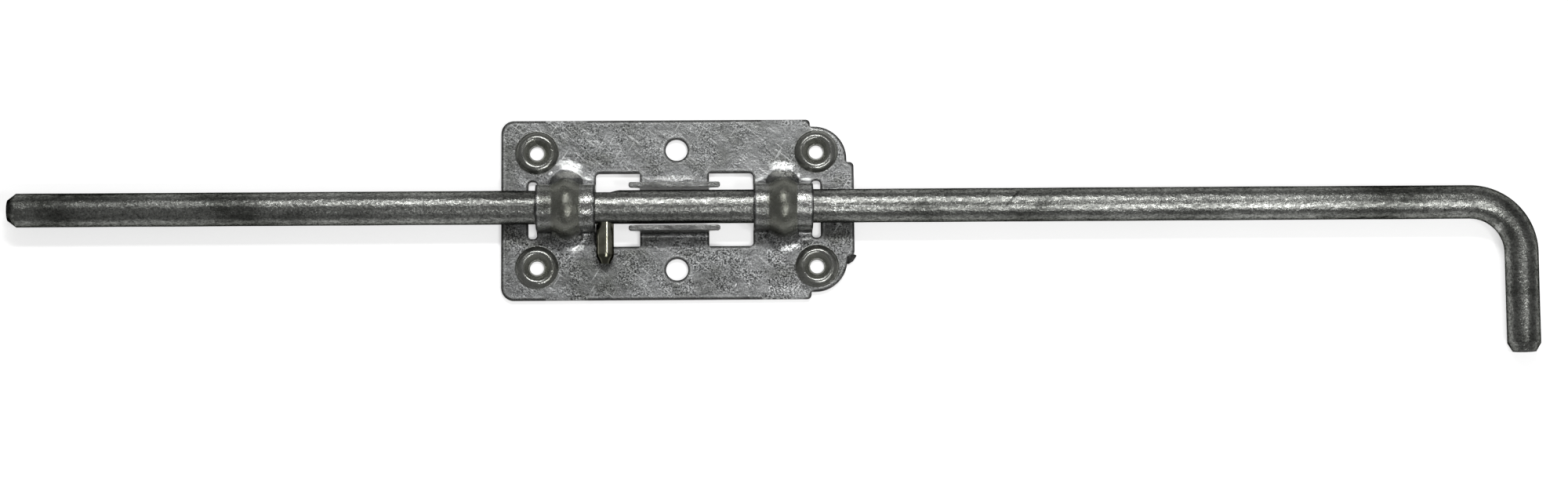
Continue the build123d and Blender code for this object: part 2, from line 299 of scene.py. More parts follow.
@dataclass(frozen=True)
class GalvanisedSheet:
    """Hot-dip zinc on pressed sheet: matt grey, finely grained and cloudy, with rims of painted
    shade.

    Names that end in share say how much of a colour shows. An Ease over X, Y or Z reads
    millimetres, and one over noise reads a level from nought to one.
    """

    name: str = "galvanised_sheet_zinc"
    metallic: float = 0.88
    edge_tint: str = "#c8c8c6"
    # clouds, drawn out a little along the sheet's rolling direction
    pale: str = "#818282"
    middle: str = "#747575"
    dark: str = "#626361"
    cloud_mm: float = 13.0
    cloud_roughness: float = 0.55
    rolled_degrees: float = 20.0
    rolled_scale: Triple = (0.8, 1.2, 1.0)
    to_middle: Ease = Ease(0.32, 0.54)
    to_pale: Ease = Ease(0.5, 0.72)
    # spangle and grain: strong in some patches, and on the lower half of the plate
    crystal_mm: float = 1.1
    crystal_share: float = 0.4
    grain_mm: float = 0.8
    grain_roughness: float = 0.75
    grain: Ease = Ease(0.4, 0.62, -0.85, 0.55)
    calm_mm: float = 9.0
    calm: Ease = Ease(0.38, 0.6, 0.35, 1.3)
    calm_over_y: Ease = Ease(12.0, -22.0, 0.82, 1.4)
    sparkle_middle: float = 1.03
    sparkle_least: float = 0.2
    # handling scratches: turn in degrees, spacing in mm and cut through the noise
    scratch_and_edge_highlight: str = "#a8a9a8"
    scratch_share: float = 0.65
    scratch_stretch: float = 0.07
    scratch_edge: Pair = (0.02, 0.03)
    scratches: tuple[Triple, ...] = ((38.0, 0.9, 0.69), (-58.0, 1.2, 0.7))
    # straps, ears and beads
    strap: str = "#73746f"
    strap_share: float = 0.45
    raised_over_z: Ease = Ease(4.0, 12.0)
    raised_over_y: Ease = Ease(15.4, 14.2)
    bead: str = "#62635a"
    bead_share: float = 0.66
    bead_lead_mm: Pair = (2.0, 1.5)
    bead_trail_mm: float = 0.6
    # screw bosses and their countersinks
    boss: str = "#74756d"
    boss_share: float = 0.6
    boss_edge_mm: Pair = (0.6, 0.8)
    boss_calm: float = 0.6
    dish: str = "#8d8e85"
    dish_share: float = 0.8
    dish_edge_mm: float = 0.3
    # painted shade at the edges: dark at the very edge, with a painted highlight inside it
    rim: str = "#141413"
    rim_mm: float = 2.2
    rim_samples: int = 8
    edge_shade_over_depth: Ease = Ease(0.84, 0.72, 0.0, 0.9)
    edge_highlight_over_depth: Ease = Ease(0.96, 0.88, 0.0, 0.4)
    rim_gap_mm: Pair = (2.4, 3.4)
    ears_over_x: Ease = Ease(32.0, 28.0, 0.0, 0.4)
    # gloss and relief
    rough_mm: float = 4.0
    rough: Ease = Ease(0.3, 0.7, 0.28, 0.42)
    smoothing: float = 0.38
    bead_dulling: float = 0.6
    round_mm: float = 0.8
    round_samples: int = 6
    wave_mm: float = 7.0
    wave_depth_mm: float = 0.35
    lump_mm: float = 1.0
    lump_roughness: float = 0.65
    lump_depth_mm: float = 0.16
    raised_lumps: float = 0.2
    marks: tuple[Mark, ...] = (
        # painted shade: darker patches over the plate's lower middle, along its top and at its ends
        Mark((-38.0, -32.0), (20.0, 12.0), "#50514d", 0.45),
        Mark((14.0, -34.0), (9.0, 8.0), "#50514d", 0.35),
        Mark((-6.0, 34.0), (95.0, 14.0), "#565755", 0.3, 0.0, 0.4),
        Mark((-80.0, 8.0), (6.0, 34.0), "#4a4b47", 0.45),
        Mark((-72.0, 25.0), (13.0, 14.0), "#4a4b47", 0.26),
        Mark((75.0, -10.0), (8.0, 8.0), "#474844", 0.35),
        # painted highlights at the feet of the flares, where the curved sheet catches the light
        Mark((-50.6, 21.0), (6.2, 3.0), "#dcdedd", 0.9, -14.0),
        Mark((50.3, 20.4), (6.4, 2.8), "#dcdedd", 0.9, -4.0),
        Mark((-46.6, -18.4), (3.6, 1.5), "#dcdedd", 0.85, 24.0),
        Mark((54.0, -18.8), (5.4, 1.9), "#dcdedd", 0.85, 16.0),
        # weaker painted highlights on the upper flares
        Mark((-51.4, 16.6), (6.4, 2.2), "#d2d3ce", 0.8),
        Mark((50.3, 16.6), (6.4, 2.2), "#d2d3ce", 0.8),
        # and small painted highlights beside the beads
        Mark((-42.0, 15.2), (2.4, 1.0), "#dcdedd", 0.8, -8.0),
        Mark((39.0, 14.4), (2.6, 1.0), "#dcdedd", 0.75, 14.0),
        Mark((61.6, 14.2), (3.0, 0.9), "#dcdedd", 0.8),
        Mark((-43.8, -14.0), (1.3, 1.0), "#dcdedd", 0.8, 40.0),
        Mark((61.3, -14.4), (2.8, 0.9), "#dcdedd", 0.8, 6.0),
        # painted shade over the lower ear, and a painted highlight along the bend of the upper one
        Mark((-1.0, -13.4), (26.0, 3.2), "#3c3d3a", 0.3, 0.0, 0.3),
        Mark((-1.5, 15.2), (14.5, 1.4), "#bfc0bf", 0.75, 0.0, 0.6),
        # drips and specks of zinc
        Mark((-59.8, 18.0), (1.1, 0.8), "#d0d1d0", 0.8, 30.0, 0.8),
        Mark((58.0, 16.2), (0.8, 1.2), "#d0d1d0", 0.7, 10.0, 0.8),
        Mark((-47.2, -13.5), (2.6, 0.9), "#b4b5b2", 0.8, 18.0),
        # the burr at the lower right corner turns down into shade, which is painted black
        Mark((82.8, -23.4), (2.4, 1.3), "#161615", 0.95, 30.0, 0.3),
        # a painted highlight along the rounded edge of the curved corner
        Mark((76.0, -35.0), (7.0, 1.2), "#dcdddc", 0.9, 45.0, 0.6),
        # painted highlights on the straps beside the beads, and a darker patch on the left strap's
        # outer part
        Mark((-42.4, 3.2), (3.4, 3.0), "#e4e5e2", 0.7),
        Mark((-42.6, -3.8), (2.6, 1.3), "#e4e5e2", 0.6),
        Mark((58.8, 3.4), (3.2, 2.6), "#e4e5e2", 0.6),
        Mark((40.0, 3.2), (3.2, 2.2), "#e4e5e2", 0.45),
        Mark((-62.5, -1.0), (4.0, 9.0), "#3c3d38", 0.4),
        # a painted highlight along the upper side of each strap
        *(
            Mark((x, 10.4), (half, 0.6), "#f4f5f2", rag=0.4)
            for x, half in ((-63.5, 5.0), (-40.5, 4.5), (38.5, 4.5), (61.5, 4.5))
        ),
    )

    def material(self, plate: "MountingPlate") -> bpy.types.Material:
        """Builds the material for the plate.

        Args:
            plate: The plate, for the places of its beads and bosses.

        Returns:
            The finished material.
        """
        p = Pattern(self.name)
        boss, dish = self.boss_masks(p, plate)
        plain = p.math("MULTIPLY_ADD", boss, -self.boss_calm, 1.0)
        raised_z = p.ramp(p.axis(Axis3.Z), self.raised_over_z)
        raised = p.math("MULTIPLY", raised_z, p.ramp(p.axis(Axis3.Y), self.raised_over_y))
        drawn, edged = self.bead_masks(p, plate, raised)

        colour = self.clouds(p)
        # the marks lay zinc drips and tone, and also painted highlights and painted shade
        for mark in self.marks:
            colour = p.tint(colour, mark.colour, p.spot(mark), mark.strength)
        colour = p.mix(plain, colour, p.grey(self.sparkle(p)), "MULTIPLY")
        colour = self.scratched(p, colour)
        # straps, ears and above all the beads are olive grey, where the sheet was stretched
        colour = p.tint(colour, self.strap, raised, self.strap_share)
        colour = p.tint(colour, self.bead, drawn, self.bead_share)
        # so are the screw bosses, but their countersinks are paler
        colour = p.tint(colour, self.boss, boss, self.boss_share)
        colour = p.tint(colour, self.dish, dish, self.dish_share)
        colour = self.paint_edge_shade(p, colour, raised, edged)

        smooth = p.math("MAXIMUM", boss, raised)
        smooth = p.math("MULTIPLY_ADD", drawn, -self.bead_dulling, smooth)
        gloss = p.math("MULTIPLY_ADD", smooth, -self.smoothing, 1.0)
        rough = p.math("MULTIPLY", p.ramp(p.noise(self.rough_mm, 3.0), self.rough), gloss)
        relief = self.relief(p, raised, plain)
        return p.finish(colour, rough, relief, self.metallic, self.edge_tint)

    def boss_masks(self, p: Pattern, plate: "MountingPlate") -> tuple[Socket, Socket]:
        """One over each screw boss, and one over its countersink, as they mirror in X and Y."""
        aside = p.vector("SUBTRACT", p.vector("ABSOLUTE", p.place), (*plate.screw_mm, 0.0))
        away = p.vector("LENGTH", p.vector("MULTIPLY", aside, (1.0, 1.0, 0.0)))
        inner, _, outer = plate.boss_mm
        before, after = self.boss_edge_mm
        boss = p.ramp(away, Ease(outer + before, outer - after))
        dish = p.ramp(away, Ease(inner + self.dish_edge_mm, inner - self.dish_edge_mm))
        return boss, dish

    def bead_masks(
        self, p: Pattern, plate: "MountingPlate", raised: Socket
    ) -> tuple[Socket, Socket]:
        """Finds the beads on the raised straps, and the places well away from them.

        Returns:
            A mask of the beads, which fades out over the strap on their left, and a mask
            of the sheet where its edges have dark rims.
        """
        drawn: Socket | float = 0.0
        edged: Socket | float = 1.0
        x = p.axis(Axis3.X)
        half = plate.bead_half_mm
        far = Ease(half + self.rim_gap_mm[0], half + self.rim_gap_mm[1])
        for centre in plate.bead_centres_mm:
            left, right = centre - half, centre + half
            start = p.ramp(x, Ease(left - self.bead_lead_mm[0], left + self.bead_lead_mm[1]))
            stop = p.ramp(x, Ease(right, right - self.bead_trail_mm))
            over = p.math("MULTIPLY", p.math("MULTIPLY", start, stop), raised)
            drawn = p.math("MAXIMUM", drawn, over)
            off = p.math("ABSOLUTE", p.math("SUBTRACT", x, centre))
            edged = p.math("MULTIPLY", edged, p.ramp(off, far))
        return drawn, edged

    def clouds(self, p: Pattern) -> Socket:
        """Cloudy zinc: blotches of dark, middle and pale grey."""
        place = p.stretched(self.rolled_degrees, self.rolled_scale)
        clouds = p.noise(self.cloud_mm, 3.0, place, Roughness=self.cloud_roughness)
        colour = p.tint(linear(self.dark), self.middle, p.ramp(clouds, self.to_middle))
        return p.tint(colour, self.pale, p.ramp(clouds, self.to_pale))

    def sparkle(self, p: Pattern) -> Socket:
        """Spangle: each crystal and grain reflects a little more or less."""
        grain = p.ramp(p.noise(self.grain_mm, 4.0, Roughness=self.grain_roughness), self.grain)
        grains = p.math("MULTIPLY_ADD", p.crystals(self.crystal_mm), self.crystal_share, grain)
        strong = p.ramp(p.noise(self.calm_mm, 2.0), self.calm)
        strong = p.math("MULTIPLY", strong, p.ramp(p.axis(Axis3.Y), self.calm_over_y))
        sparkle = p.math("MULTIPLY_ADD", grains, strong, self.sparkle_middle)
        return p.math("MAXIMUM", sparkle, self.sparkle_least)

    def scratched(self, p: Pattern, colour: Socket) -> Socket:
        """Lays fine short scratches over the colour, in each of their directions."""
        before, after = self.scratch_edge
        for turn, spacing, cut in self.scratches:
            place = p.stretched(turn, (self.scratch_stretch, 1 / spacing, 1 / spacing))
            ease = Ease(cut - before, cut + after, 0.0, self.scratch_share)
            colour = p.tint(colour, self.scratch_and_edge_highlight, p.ramp(p.noise(1.0, 1.0, place), ease))
        return colour

    def paint_edge_shade(self, p: Pattern, colour: Socket, raised: Socket, edged: Socket) -> Socket:
        """Paints shade on sheared and rolled edges, but not on the soft flares.

        The share of short rays into the sheet that don't come out again tells how far a
        point lies from an edge. It is one well inside and a half at the very edge.

        Returns:
            The colour with its painted edge shade, which is weaker on the raised ears.
        """
        inputs = {"Distance": self.rim_mm * MM}
        settings = {"samples": self.rim_samples, "inside": True, "only_local": True}
        depth = add_node(p.tree, "AmbientOcclusion", inputs, **settings).outputs["AO"]
        # painted highlight: a paler line just inside each edge, where a rounded edge catches the
        # light
        edge_highlight = p.math("MULTIPLY", p.ramp(depth, self.edge_highlight_over_depth), edged)
        colour = p.tint(colour, self.scratch_and_edge_highlight, edge_highlight)
        from_middle = p.math("ABSOLUTE", p.axis(Axis3.X))
        ears = p.math("MULTIPLY", raised, p.ramp(from_middle, self.ears_over_x))
        # painted shade: a dark line at each edge, where it turns away from the light
        rim = p.math("MULTIPLY", p.ramp(depth, self.edge_shade_over_depth), edged)
        rim = p.math("MULTIPLY", rim, p.math("SUBTRACT", 1.0, ears))
        return p.tint(colour, self.rim, rim)

    def relief(self, p: Pattern, raised: Socket, plain: Socket) -> Socket:
        """Rounds the edges a little and raises soft waves and fine lumps of zinc."""
        inputs = {"Radius": self.round_mm * MM}
        rounded = add_node(p.tree, "Bevel", inputs, samples=self.round_samples).outputs[0]
        waves = p.bump(p.noise(self.wave_mm, 2.0), self.wave_depth_mm, rounded)
        height = p.math("MULTIPLY_ADD", raised, self.raised_lumps, plain)
        lumps = p.noise(self.lump_mm, 4.0, Roughness=self.lump_roughness)
        return p.bump(p.math("MULTIPLY", lumps, height), self.lump_depth_mm, waves)


@dataclass(frozen=True)
class GalvanisedBar:
    """Hot-dip zinc on black round bar: dark mottled grey, with a shine broken by its lumps."""

    name: str = "galvanised_bar_zinc"
    metallic: float = 1.0
    edge_tint: str = "#2c2c2c"
    pale: str = "#8a8b88"
    middle: str = "#6a6b68"
    dark: str = "#3e3f3c"
    cloud_mm: float = 20.0
    cloud_scale: Triple = (0.45, 1.0, 1.0)
    cloud_roughness: float = 0.62
    to_middle: Ease = Ease(0.3, 0.55)
    to_pale: Ease = Ease(0.55, 0.75)
    upper_side: Ease = Ease(-0.15, 0.15)
    lump_mm: float = 2.0
    lump_scale: Triple = (0.6, 1.0, 1.0)
    lumps: Ease = Ease(0.34, 0.66, 0.0, 0.6)
    grain_mm: float = 1.0
    grain: Ease = Ease(0.36, 0.64, 0.0, 0.7)
    fine_roughness: float = 0.7
    sparkle_least: float = 0.4
    speck_mm: float = 1.4
    specks: Ease = Ease(0.7, 0.75, 0.0, 0.8)
    rough: Ease = Ease(0.3, 0.7, 0.36, 0.2)
    wave_mm: float = 6.0
    wave_depth_mm: float = 0.26
    lump_depth_mm: float = 0.3
    marks: tuple[Mark, ...] = (
        # paler patches over the upper side of the bar's middle and its right and left parts
        *(
            Mark((x, 0.0), (half, 60.0), "#9fa09d", strength, rag=0.3)
            for x, half, strength in ((30, 100, 0.16), (255, 70, 0.22), (-135, 70, 0.18))
        ),
        # dark smear across the bar where it was held in the zinc bath
        Mark((158.4, 2.0), (6.2, 0.8), "#222321", 0.75, 48.0, 0.3),
        # the tapered tip is almost black
        Mark((-315.0, 0.0), (4.6, 12.0), "#161615", 0.85, 0.0, 0.25),
        # pale patch on the inside of the bend
        Mark((388.0, -13.6), (2.0, 3.6), "#a7a8a5", 0.7, -40.0, 0.6),
        # bright streaks where the bar has slid through the strap
        Mark((84.0, -1.2), (13.0, 0.45), "#c4c6c3", 0.7, -2.0, 0.5),
        Mark((80.0, -3.2), (9.0, 0.4), "#b4b6b3", 0.6, 1.0, 0.5),
        Mark((74.0, 3.6), (3.5, 1.6), "#8c8d8a", 0.6, 0.0, 0.6),
    )

    def material(self) -> bpy.types.Material:
        """Builds the material for the bar and returns it."""
        p = Pattern(self.name)
        along = p.stretched(0.0, self.cloud_scale)
        clouds = p.noise(self.cloud_mm, 5.0, along, Roughness=self.cloud_roughness)
        colour = p.tint(linear(self.dark), self.middle, p.ramp(clouds, self.to_middle))
        colour = p.tint(colour, self.pale, p.ramp(clouds, self.to_pale))
        upper = p.facing_up(self.upper_side)
        for mark in self.marks:
            over = p.math("MULTIPLY", p.spot(mark), upper)
            colour = p.tint(colour, mark.colour, over, mark.strength)
        # lumps and grains of zinc, each a little brighter or duller
        place = p.stretched(0.0, self.lump_scale)
        lumps = p.noise(self.lump_mm, 4.0, place, Roughness=self.fine_roughness)
        grain = p.noise(self.grain_mm, 3.0, Roughness=self.fine_roughness)
        sparkle = p.math("ADD", p.ramp(lumps, self.lumps), p.ramp(grain, self.grain))
        sparkle = p.math("ADD", sparkle, self.sparkle_least)
        colour = p.mix(1.0, colour, p.grey(sparkle), "MULTIPLY")
        # dark specks where the zinc didn't take
        colour = p.tint(colour, self.dark, p.ramp(p.noise(self.speck_mm, 1.0), self.specks))
        waves = p.bump(p.noise(self.wave_mm, 2.0, along), self.wave_depth_mm)
        relief = p.bump(lumps, self.lump_depth_mm, waves)
        roughness = p.ramp(lumps, self.rough)
        return p.finish(colour, roughness, relief, self.metallic, self.edge_tint)


@dataclass(frozen=True)
class PlatedPin:
    """Bright zinc plate on a turned pin: smooth olive grey with one sharp line of shine."""

    name: str = "plated_pin_zinc"
    metallic: float = 1.0
    edge_tint: str = "#1e1e19"
    pale: str = "#8d8c7f"
    dark: str = "#737266"
    cloud_mm: float = 4.0
    to_pale: Ease = Ease(0.3, 0.7)
    # painted shade for the pin's nose
    nose_shade: str = "#45453c"
    nose_over_y: Ease = Ease(-21.8, -22.6, 0.0, 0.9)
    rough_mm: float = 1.5
    rough: Ease = Ease(0.3, 0.7, 0.15, 0.19)
    ring_scale: Triple = (0.1, 3.0, 0.1)
    ring_depth_mm: float = 0.0012

    def material(self) -> bpy.types.Material:
        """Builds the material for the pin and returns it."""
        p = Pattern(self.name)
        clouds = p.ramp(p.noise(self.cloud_mm, 3.0), self.to_pale)
        colour = p.tint(linear(self.dark), self.pale, clouds)
        # painted shade on the nose, which lies in shadow close to the sheet
        colour = p.tint(colour, self.nose_shade, p.ramp(p.axis(Axis3.Y), self.nose_over_y))
        roughness = p.ramp(p.noise(self.rough_mm, 2.0), self.rough)
        # fine rings left by turning
        rings = p.bump(p.noise(1.0, 1.0, p.stretched(0.0, self.ring_scale)), self.ring_depth_mm)
        return p.finish(colour, roughness, rings, self.metallic, self.edge_tint)


@dataclass(frozen=True)
class GridSurface:
    """A closed tube of points on a grid: rows along its length, columns round it."""

    name: str
    points: np.ndarray

    def build(self) -> bpy.types.Object:
        """Makes the mesh, with a fan at each end.

        The points have the shape (rows, columns, 3). Each quad joins a point to the next
        row and the next column, the last column joins the first, and each end row closes
        on its own middle point.

        Returns:
            The new object, linked to the scene.
        """
        rows, columns, _ = self.points.shape
        index = np.arange(rows * columns).reshape(rows, columns)
        beside = np.roll(index, -1, axis=1)
        quads = np.stack([index[:-1], index[1:], beside[1:], beside[:-1]], axis=-1)
        middles = self.points[[0, -1]].mean(axis=1)
        first, last = rows * columns, rows * columns + 1
        start_fan = np.stack([np.full(columns, first), index[0], beside[0]], axis=-1)
        end_fan = np.stack([np.full(columns, last), beside[-1], index[-1]], axis=-1)
        faces = quads.reshape(-1, 4).tolist() + start_fan.tolist() + end_fan.tolist()
        mesh = bpy.data.meshes.new(self.name)
        mesh.from_pydata(np.concatenate([self.points.reshape(-1, 3), middles]), [], faces)
        mesh.shade_smooth()
        mesh.update()
        return place_object(self.name, mesh)


@dataclass
class MountingPlate:
    """The pressed plate with its straps, ears and screw bosses, all one piece of sheet.

    A bead's shares say how far its left and right sides follow the bell, which comes in
    between the fade's two heights. A boss has the radii of its countersink, its crest and
    its foot.
    """

    node: str = "mounting_plate"
    body: str = "plate"
    slot: str = "galvanised_sheet"
    finish: GalvanisedSheet = GalvanisedSheet()
    bead_centres_mm: Pair = (-52.35, 50.15)
    bead_half_mm: float = 6.85
    bead_foot_mm: float = 11.0
    bead_rise_mm: float = 2.65
    bead_fade_mm: Pair = (3.4, 7.0)
    bead_shares: Pair = (0.7, 0.4)
    bead_slack_mm: float = 0.15
    strap_mm: float = 10.8
    flare_mm: float = 8.5
    axis_mm: float = 11.0
    sheet_mm: float = 2.5
    screw_mm: Pair = (66.3, 27.5)
    boss_mm: Triple = (6.2, 7.2, 10.4)
    boss_rise_mm: float = 2.2
    boss_lip_mm: float = 0.25
    merge_mm: float = 0.001
    cuts: int = 3
    sharp_degrees: float = 32.0

    def build(self) -> bpy.types.Object:
        """Copies the solid's mesh with its loose triangles joined, so that curves look smooth.

        Returns:
            The plate that stands for its node.
        """
        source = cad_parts[self.node]
        shape = bmesh.new()
        shape.from_mesh(source.data)
        bmesh.ops.remove_doubles(shape, verts=shape.verts, dist=self.merge_mm * MM)
        ends = np.array([[corner.co for corner in edge.verts] for edge in shape.edges])
        edges = [edge for edge, chosen in zip(shape.edges, self.on_ring(ends)) if chosen]
        bmesh.ops.subdivide_edges(shape, edges=edges, cuts=self.cuts, use_grid_fill=True)
        mesh = bpy.data.meshes.new("pressed_plate")
        shape.to_mesh(mesh)
        shape.free()
        self.round_bosses(mesh)
        self.draw_beads(mesh)
        mesh.shade_smooth()
        mesh.set_sharp_from_angle(angle=math.radians(self.sharp_degrees))
        self.blend_beads(mesh)
        plate = place_object("pressed_plate", mesh)
        weighted = plate.modifiers.new("face_weighted_normals", "WEIGHTED_NORMAL")
        weighted.keep_sharp = True
        mesh.materials.append(self.finish.material(self))
        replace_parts(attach(plate, self.body), self.node)
        return plate

    def draw_beads(self, mesh: bpy.types.Mesh) -> None:
        """Gives each bead the bell section of drawn sheet, whose feet run into the strap.

        Over the strap a point's height is its distance from the bar's axis beyond the
        strap. On the flare it is measured from the flare's own centre line, and the bead's
        half width grows with the square of the angle round it. The solid's section is an
        arc. The bell is half the rise times one plus the cosine of half a turn's share of
        the half width. The bead's left side follows it for the most part and its right side
        less, because the strap is creased there. The bell dies out towards the plate.

        Args:
            mesh: The plate's mesh, whose corners on the beads are moved inward.
        """
        x, y, z = read_corners(mesh).T / MM
        side, up = np.abs(y), z - self.axis_mm
        over_strap = up > 0
        rise = self.bead_rise_mm
        flare_y = self.strap_mm + rise + self.flare_mm
        inward = np.where(over_strap, -side, side - flare_y)
        reach = np.hypot(inward, up)
        turn = np.clip(np.arctan2(-up, flare_y - side) / (math.pi / 2), 0, 1)
        half = self.bead_half_mm + (self.bead_foot_mm - self.bead_half_mm) * turn**2
        height = np.where(over_strap, reach - self.strap_mm, self.flare_mm + rise - reach)
        arc_radius = (half**2 + rise**2) / (2 * rise)
        low, high = self.bead_fade_mm
        fade = np.clip((z - low) / (high - low), 0, 1)
        for centre in self.bead_centres_mm:
            off = np.clip(x - centre, -half, half)
            arc = np.sqrt(arc_radius**2 - off**2) - arc_radius + rise
            bell = rise / 2 * (1 + np.cos(math.pi * off / half))
            share = np.where(off < 0, *self.bead_shares) * fade
            on_bead = (np.abs(x - centre) < half) & (np.abs(height - arc) < self.bead_slack_mm)
            drop = np.where(on_bead, share * (arc - bell), 0.0) / np.maximum(reach, 1.0)
            y += np.sign(y) * drop * inward
            z += np.where(over_strap, -drop, drop) * up
        write_corners(mesh, np.stack([x, y, z], axis=1) * MM)

    def blend_beads(self, mesh: bpy.types.Mesh) -> None:
        """Takes the sharp marks off the edges on and round the beads.

        Args:
            mesh: The plate's mesh.
        """
        ends = np.empty(len(mesh.edges) * 2, dtype=np.int32)
        mesh.edges.foreach_get("vertices", ends)
        middles = read_corners(mesh)[ends.reshape(-1, 2)].mean(axis=1) / MM
        sharp = np.empty(len(mesh.edges), dtype=bool)
        mesh.edges.foreach_get("use_edge_sharp", sharp)
        for centre in self.bead_centres_mm:
            near = np.abs(middles[:, 0] - centre) < self.bead_half_mm + self.bead_slack_mm
            sharp &= ~(near & (middles[:, 2] > self.sheet_mm + self.bead_slack_mm))
        mesh.edges.foreach_set("use_edge_sharp", sharp)

    def from_screw(self, points: np.ndarray) -> np.ndarray:
        """Distance of points from the nearest screw hole's axis; the holes mirror in X and Y."""
        aside = np.abs(points[..., :2]) - np.array(self.screw_mm) * MM
        return np.hypot(aside[..., 0], aside[..., 1])

    def on_ring(self, ends: np.ndarray) -> np.ndarray:
        """Whether edges, given by both ends of each, lie on the front of a boss's ring."""
        inner, _, outer = (v * MM for v in self.boss_mm)
        slack = self.merge_mm * MM
        away = self.from_screw(ends)
        within = (away > inner - slack) & (away < outer + slack)
        return np.all(within & (ends[..., 2] > self.sheet_mm * MM - slack), axis=1)

    def round_bosses(self, mesh: bpy.types.Mesh) -> None:
        """Lays the split facets of each boss's ring on its smooth section.

        Outside the crest the height over the sheet is the rise times the cosine of a
        quarter turn's share, so it is level at the crest and steep at the foot. Inside the
        crest it drops as the square of the distance, down to the lip of the countersink.

        Args:
            mesh: The plate's mesh, whose corners are moved up or down.
        """
        inner, crest, outer = (v * MM for v in self.boss_mm)
        sheet, rise, lip = (v * MM for v in (self.sheet_mm, self.boss_rise_mm, self.boss_lip_mm))
        points = read_corners(mesh)
        away = self.from_screw(points)
        outward = np.clip((away - crest) / (outer - crest), 0, 1)
        flank = sheet + rise * np.cos(math.pi / 2 * outward)
        dish = lip * np.clip((crest - away) / (crest - inner), 0, 1) ** 2
        ring = (away > inner) & (away < outer) & (points[:, 2] > sheet + self.merge_mm * MM)
        points[ring, 2] = (flank - dish)[ring]
        write_corners(mesh, points)


